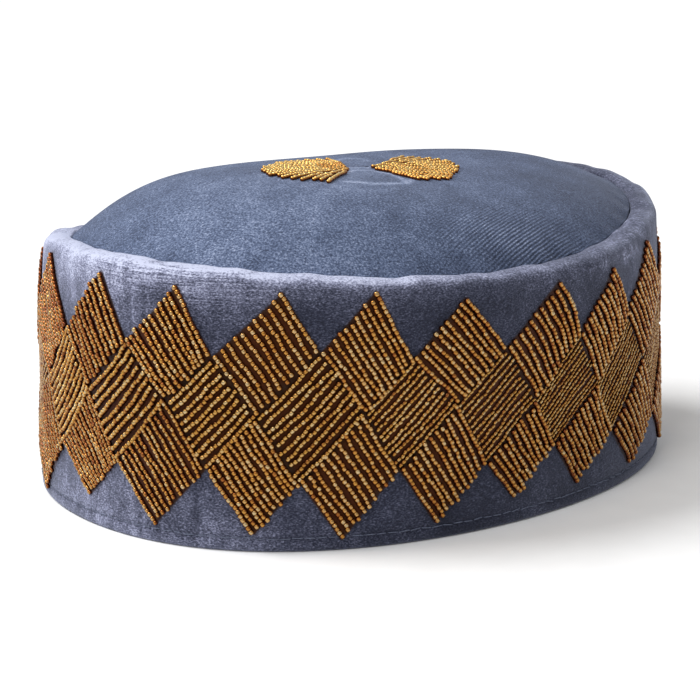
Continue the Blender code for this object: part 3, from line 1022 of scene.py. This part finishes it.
def add_wall_marks(tree, value):
    """Return the wall's pile with its creases, brushed streaks and rubbed veins."""
    creases = noise(tree, 1.0, detail=1.0, stretch=(80.0, 80.0, 2300.0))
    dark = math_node(tree, "MULTIPLY", attribute(tree, "fold"), spread(tree, creases, 1.0))
    value = math_node(tree, "ADD", value, dark)
    streaks = noise(tree, 1.0, detail=2.0, stretch=(260.0, 260.0, 75.0))
    brushed = math_node(tree, "MULTIPLY", attribute(tree, "streak"), spread(tree, streaks, STREAK_MARKS))
    value = math_node(tree, "ADD", value, brushed)
    fine = noise(tree, 300.0, detail=3.0, roughness=0.6)
    veins = math_node(tree, "ADD", spread(tree, fine, 4.5), 0.20, True)
    veins = math_node(tree, "MULTIPLY", attribute(tree, "rub"), veins)
    return math_node(tree, "ADD", value, math_node(tree, "MULTIPLY", veins, RUB_MARKS))


def add_crown_marks(tree, value):
    """Return the crown's pile with its pressed lines and the weave that shows through it."""
    value = math_node(tree, "ADD", value, math_node(tree, "MULTIPLY", attribute(tree, "press"), PRESS_MARKS))
    place = add_node(tree, "ShaderNodeTexCoord", {}).outputs["Object"]
    turned = add_node(tree, "ShaderNodeVectorRotate", {"Vector": place, "Angle": TWILL_ANGLE},
                      rotation_type="Z_AXIS").outputs[0]
    lines = add_node(tree, "ShaderNodeTexWave", {"Vector": turned, "Scale": TWILL_SCALE, "Distortion": 1.2,
                                                 "Detail": 1.0, "Detail Scale": 0.4}).outputs[1]
    woven = math_node(tree, "MULTIPLY", attribute(tree, "twill"), spread(tree, lines, TWILL_MARKS))
    return math_node(tree, "ADD", value, woven)


def add_painted_bead_shade(tree, colour):
    """Return the wall's colour with painted shade between the beads and at the beadwork's edges, tinted with
    a painted red glow from the amber glass.
    """
    cover = math_node(tree, "ADD", attribute(tree, "cover"), PAINTED_SHADE_REACH)
    inside = math_node(tree, "MULTIPLY", cover, 1.6, True)
    shade_patchiness = spread(tree, noise(tree, 300.0, detail=2.0), 1.2)
    depth = math_node(tree, "ADD", math_node(tree, "MULTIPLY", attribute(tree, "depth"), 0.45), shade_patchiness, True)
    return mix_colours(tree, inside, colour, mix_colours(tree, depth, PAINTED_GAP_SHADE, PAINTED_AMBER_GLOW))


def velvet_material(name, grain, stops, with_painted_bead_shade):
    """Short brushed pile: specks and streaks from dark to pale, with a sheen at its edges."""
    material, tree, shader = start_material(name)
    specks = noise(tree, grain.scale, detail=3.0, roughness=0.65, stretch=grain.stretch, turn=grain.turn)
    patches = noise(tree, 95.0, detail=3.0, roughness=0.6)
    broad = noise(tree, 28.0, detail=1.0)
    # The stored paleness holds the pile's tone and painted light
    value = math_node(tree, "ADD", attribute(tree, "pile_and_painted_light"), spread(tree, specks, grain.contrast))
    value = math_node(tree, "ADD", value, spread(tree, patches, PATCH_MARKS))
    value = math_node(tree, "ADD", value, spread(tree, broad, BROAD_MARKS))
    # The wall takes painted shade and a painted amber glow between its beads
    if with_painted_bead_shade:
        colour = add_painted_bead_shade(tree, ramp(tree, add_wall_marks(tree, value), stops))
    else:
        colour = ramp(tree, add_crown_marks(tree, value), stops)
    height = math_node(tree, "ADD", specks, math_node(tree, "MULTIPLY", patches, 0.8))
    bump = add_node(tree, "ShaderNodeBump", {"Height": height, "Strength": 0.55, "Distance": 0.0006})
    set_inputs(tree, shader, {
        "Base Color": colour, "Normal": bump.outputs[0], "Roughness": 0.85, "Specular IOR Level": 0.15,
        "Sheen Weight": grain.sheen, "Sheen Roughness": 0.42, "Sheen Tint": SHEEN_TINT})
    return material


def backing_material():
    """Plain dark woven cloth on the inner side."""
    material, tree, shader = start_material("backing_cloth")
    weave = noise(tree, 1400.0, detail=1.0)
    soil = noise(tree, 40.0, detail=3.0)
    value = math_node(tree, "MULTIPLY", math_node(tree, "ADD", weave, soil), 0.5)
    colour = ramp(tree, value, BACKING_STOPS)
    bump = add_node(tree, "ShaderNodeBump", {"Height": weave, "Strength": 0.5, "Distance": 0.0003})
    set_inputs(tree, shader, {"Base Color": colour, "Normal": bump.outputs[0], "Roughness": 0.9})
    return material


def bead_material(name, stops, warmth, roughness):
    """Foil-lined glass beads: bright gold above, deep amber below and between them, partly the glass's own
    colour and partly painted light, with lit tops and shaded sides.
    """
    material, tree, shader = start_material(name)
    lift = attribute(tree, "lift")
    tone = attribute(tree, "tone")
    value = math_node(tree, "ADD", math_node(tree, "MULTIPLY", lift, BEAD_LIFT), BEAD_BASE)
    value = math_node(tree, "ADD", value, spread(tree, tone, BEAD_TONE))
    specks = noise(tree, 900.0, detail=2.0)
    value = math_node(tree, "ADD", value, spread(tree, specks, BEAD_SPECKS))
    colour = ramp(tree, value, stops)
    red_share = math_node(tree, "MULTIPLY", noise(tree, 55.0, detail=2.0), warmth)
    warmed = mix_colours(tree, red_share, colour, BEAD_RED)
    set_inputs(tree, shader, {"Base Color": warmed, "Metallic": 0.85, "Roughness": roughness,
                              "Coat Weight": 0.15, "Coat Roughness": 0.12})
    return material


def thread_material():
    """Matt blue-grey sewing thread."""
    material, tree, shader = start_material("hem_thread")
    twist = noise(tree, 2500.0, detail=1.0)
    colour = ramp(tree, twist, THREAD_STOPS)
    set_inputs(tree, shader, {"Base Color": colour, "Roughness": 0.8})
    return material


def floor_material():
    """Plain matt white studio floor with a very faint grain."""
    material, tree, shader = start_material("studio_floor")
    grain = noise(tree, 60.0, detail=2.0)
    colour = ramp(tree, grain, FLOOR_STOPS)
    set_inputs(tree, shader, {"Base Color": colour, "Roughness": 0.9, "Specular IOR Level": 0.1})
    return material


def build_floor():
    """The white floor that the cap rests on."""
    corners = np.array([(-1, -1, 0), (1, -1, 0), (1, 1, 0), (-1, 1, 0)]) * FLOOR_HALF
    mesh = quad_mesh("studio_floor", corners, np.array([[0, 1, 2, 3]]))
    mesh.materials.append(floor_material())
    place_in_scene("studio_floor", mesh)


def view_place(right, away, up):
    """Return a place given to the right of the view, away from the viewer and up."""
    return Vector(VIEW_RIGHT) * right + Vector(VIEW_AWAY) * away + Vector((0.0, 0.0, up))


def build_lamp():
    """A soft square light in front that looks at the cap."""
    data = bpy.data.lights.new("front", "AREA")
    data.size = LAMP_SIZE
    data.energy = LAMP_POWER
    lamp = bpy.data.objects.new("front", data)
    lamp.location = view_place(*LAMP_FROM)
    lamp.rotation_euler = (Vector(LAMP_AT) - lamp.location).to_track_quat("-Z", "Y").to_euler()
    bpy.context.scene.collection.objects.link(lamp)


def build_lights():
    """Soft white surroundings with a broad sun from the left, a little behind, and a weak lamp in front."""
    world = bpy.data.worlds.new("studio")
    world.use_nodes = True
    background = world.node_tree.nodes["Background"]
    background.inputs["Color"].default_value = (1.0, 1.0, 1.0, 1.0)
    background.inputs["Strength"].default_value = WORLD_STRENGTH
    bpy.context.scene.world = world
    data = bpy.data.lights.new("sun", "SUN")
    data.energy = SUN_STRENGTH
    data.angle = math.radians(SUN_SOFTNESS)
    sun = bpy.data.objects.new("sun", data)
    sun.rotation_euler = view_place(*SUN_FROM).to_track_quat("Z", "Y").to_euler()
    bpy.context.scene.collection.objects.link(sun)
    build_lamp()
    bpy.context.scene.view_settings.view_transform = "Standard"


def build_camera():
    """The camera at the photo's place."""
    data = bpy.data.cameras.new("camera")
    data.lens = CAMERA_LENS
    data.sensor_width = CAMERA_SENSOR
    data.clip_start = CAMERA_NEAR
    camera = bpy.data.objects.new("camera", data)
    camera.location = CAMERA_PLACE
    look = Vector(CAMERA_TARGET) - Vector(CAMERA_PLACE)
    camera.rotation_euler = look.to_track_quat("-Z", "Y").to_euler()
    bpy.context.scene.collection.objects.link(camera)
    bpy.context.scene.camera = camera


build_camera()
WALL_VELVET = velvet_material("velvet_wall", WALL_GRAIN, WALL_STOPS, True)
CROWN_VELVET = velvet_material("velvet_crown", CROWN_GRAIN, CROWN_STOPS, False)
BACKING = backing_material()
build_wall(WALL_VELVET, BACKING)
build_crown(CROWN_VELVET, BACKING)
STEEP_GOLD = bead_material("gold_beads_steep", GOLD_STOPS, warmth=0.15, roughness=0.20)
FLAT_GOLD = bead_material("gold_beads_flat", FLAT_GOLD_STOPS, warmth=0.20, roughness=0.20)
FAN_GOLD = bead_material("gold_beads_fan", FAN_GOLD_STOPS, warmth=0.20, roughness=0.34)
build_lattice([STEEP_GOLD, FLAT_GOLD, STEEP_GOLD])
for FAN in FANS:
    build_fan(FAN, FAN_GOLD)
build_hem_stitches(thread_material())
build_floor()
build_lights()
